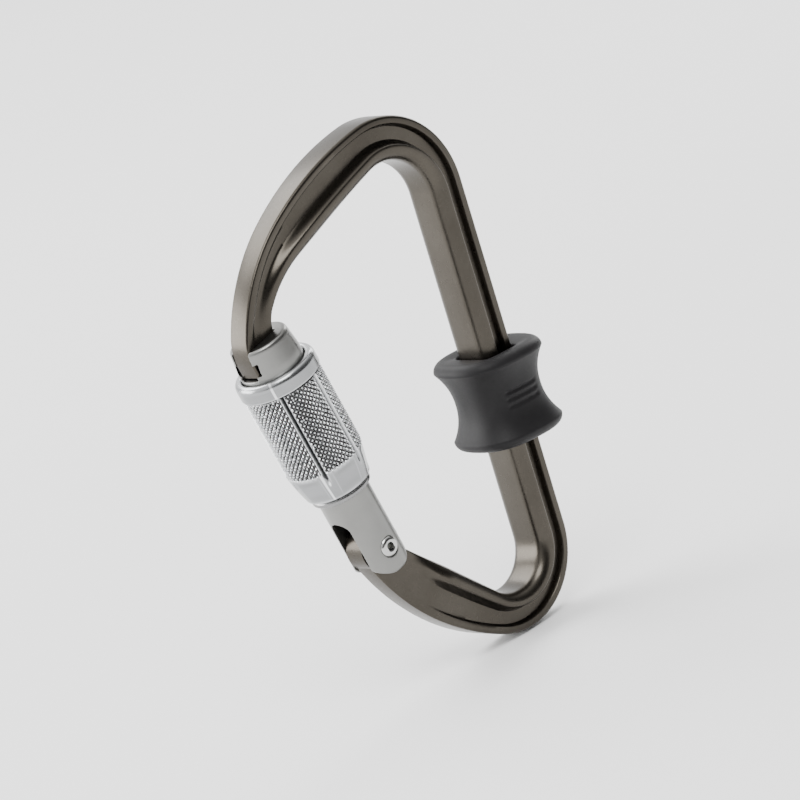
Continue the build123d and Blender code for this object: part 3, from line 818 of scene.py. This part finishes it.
def rubber():
    """Matt black rubber with a fine moulded grain."""
    material, tree, shader = new_material("keeper_rubber_surface")
    cloud = noise(tree, 140.0, 4.0)
    stops = [(0.35, (0.0060, 0.0056, 0.0062)), (0.7, (0.0100, 0.0094, 0.0102))]
    tree.links.new(ramp(tree, cloud, stops), shader.inputs["Base Color"])
    tree.links.new(span(tree, noise(tree, 2600.0), 0.46, 0.62), shader.inputs["Roughness"])
    shader.inputs["Specular IOR Level"].default_value = 0.22
    bump(tree, shader, noise(tree, 6000.0, 2.0), strength=0.2, distance=0.01)
    return material


def red_paint():
    """Glossy deep red."""
    material, tree, shader = new_material("warning_red_surface")
    cloud = noise(tree, 400.0)
    stops = [(0.3, (0.20, 0.0030, 0.0024)), (0.7, (0.26, 0.0045, 0.0034))]
    tree.links.new(ramp(tree, cloud, stops), shader.inputs["Base Color"])
    tree.links.new(span(tree, noise(tree, 1500.0), 0.25, 0.4), shader.inputs["Roughness"])
    shader.inputs["Specular IOR Level"].default_value = 0.25
    return material


def floor_paint():
    """Matt near-white."""
    material, tree, shader = new_material("pale_floor")
    cloud = noise(tree, 3.0)
    stops = [(0.3, (0.88, 0.88, 0.88)), (0.7, (0.92, 0.92, 0.92))]
    tree.links.new(ramp(tree, cloud, stops), shader.inputs["Base Color"])
    shader.inputs["Roughness"].default_value = 0.9
    return material


def dress(piece, material):
    """Gives the piece one material."""
    piece.data.materials.clear()
    piece.data.materials.append(material)


# ---------------------------------------------------------------- camera, lights, floor
def place_camera():
    """Long lens from the front left and a little above, rolled as a hand-held shot is."""
    distance = 1.05
    low, high = CAD_BOX
    centre = (low + high) / 2
    back = Vector((-0.588, -0.766, 0.262)).normalized()
    up = Vector((0.407, 0.0, 0.914))
    up = (up - back * up.dot(back)).normalized()
    right = up.cross(back)
    data = bpy.data.cameras.new("camera")
    data.lens = 255
    data.sensor_width = 36
    camera = bpy.data.objects.new("camera", data)
    bpy.context.scene.collection.objects.link(camera)
    turn = Matrix((right, up, back)).transposed().to_4x4()
    camera.matrix_world = Matrix.Translation(centre + back * distance) @ turn
    bpy.context.scene.camera = camera


def area_light(name, place, size, power, target):
    """Soft box at a place in metres, turned to face the target."""
    data = bpy.data.lights.new(name, "AREA")
    data.shape = "RECTANGLE"
    data.size, data.size_y = size
    data.energy = power
    light = bpy.data.objects.new(name, data)
    light.location = place
    light.rotation_euler = (Vector(place) - target).to_track_quat("Z", "Y").to_euler()
    bpy.context.scene.collection.objects.link(light)


def studio_world():
    """Soft room: dim in front of the object, bright on the left, above and behind."""
    world = bpy.data.worlds.new("studio")
    world.use_nodes = True
    tree = world.node_tree
    background = tree.nodes["Background"]
    coords = tree.nodes.new("ShaderNodeTexCoord")
    facing = tree.nodes.new("ShaderNodeVectorMath")
    facing.operation = "DOT_PRODUCT"
    facing.inputs[1].default_value = (-0.25, 1.0, 0.9)
    tree.links.new(coords.outputs["Generated"], facing.inputs[0])
    node = tree.nodes.new("ShaderNodeMapRange")
    node.inputs["From Min"].default_value = -0.8
    node.inputs["From Max"].default_value = 0.6
    tree.links.new(facing.outputs["Value"], node.inputs["Value"])
    stops = [(0.0, (0.05, 0.05, 0.05)), (0.4, (0.16, 0.16, 0.16)), (1.0, (1.0, 1.0, 1.0))]
    tree.links.new(ramp(tree, node.outputs["Result"], stops), background.inputs["Color"])
    background.inputs["Strength"].default_value = 1.7
    bpy.context.scene.world = world


def place_lights():
    """Four soft boxes about the object, and the room."""
    low, high = CAD_BOX
    target = (low + high) / 2
    area_light("key_above", (-0.38, -0.48, 0.90), (0.60, 0.60), 9.0, target)
    area_light("side_left", (-0.80, 0.95, 0.28), (0.9, 0.6), 15.0, target)
    area_light("top_back", (-0.05, 0.75, 0.80), (0.8, 0.6), 10.0, target)
    area_light("rim_right", (0.9, 0.35, 0.4), (0.3, 0.8), 4.0, target)
    studio_world()


def place_floor():
    """Wide flat floor just under the object."""
    gap, reach = 0.0005, 6.0
    low, _ = CAD_BOX
    z = low.z - gap
    corners = [(-reach, -reach, z), (reach, -reach, z), (reach, reach, z), (-reach, reach, z)]
    mesh = bpy.data.meshes.new("floor")
    mesh.from_pydata(corners, [], [(0, 1, 2, 3)])
    floor = bpy.data.objects.new("floor", mesh)
    bpy.context.scene.collection.objects.link(floor)
    dress(floor, floor_paint())


# ---------------------------------------------------------------- assembly
place_camera()
place_lights()
place_floor()

frame_metal = metal("frame_alloy_surface", (0.054, 0.048, 0.040), (0.070, 0.063, 0.053), (0.24, 0.34))
gate_metal = metal("gate_alloy_surface", (0.200, 0.200, 0.192), (0.240, 0.240, 0.230), (0.26, 0.36))
# the sleeve's colour carries painted shade in the knurl's hollows and painted highlights on its crests
sleeve_metal = metal_with_painted_knurl_light("sleeve_alloy_surface", (0.235, 0.240, 0.245), (0.285, 0.290, 0.295), (0.18, 0.28))
ring_metal = metal("ring_steel_surface", (0.20, 0.20, 0.20), (0.25, 0.25, 0.25), (0.22, 0.32))
steel = metal("rivet_steel_surface", (0.48, 0.48, 0.47), (0.56, 0.56, 0.55), (0.12, 0.20))

dress(forged_frame(), frame_metal)
dress(turned_gate(), gate_metal)
dress(knurled_sleeve(), sleeve_metal)
dress(rubber_keeper(), rubber())
dress(split_ring(), ring_metal)
dress(red_band(), red_paint())
dress(hollow_rivet(), steel)
dress(frame["nodes"]["plunger"], steel)
dress(gate_coil(), steel)
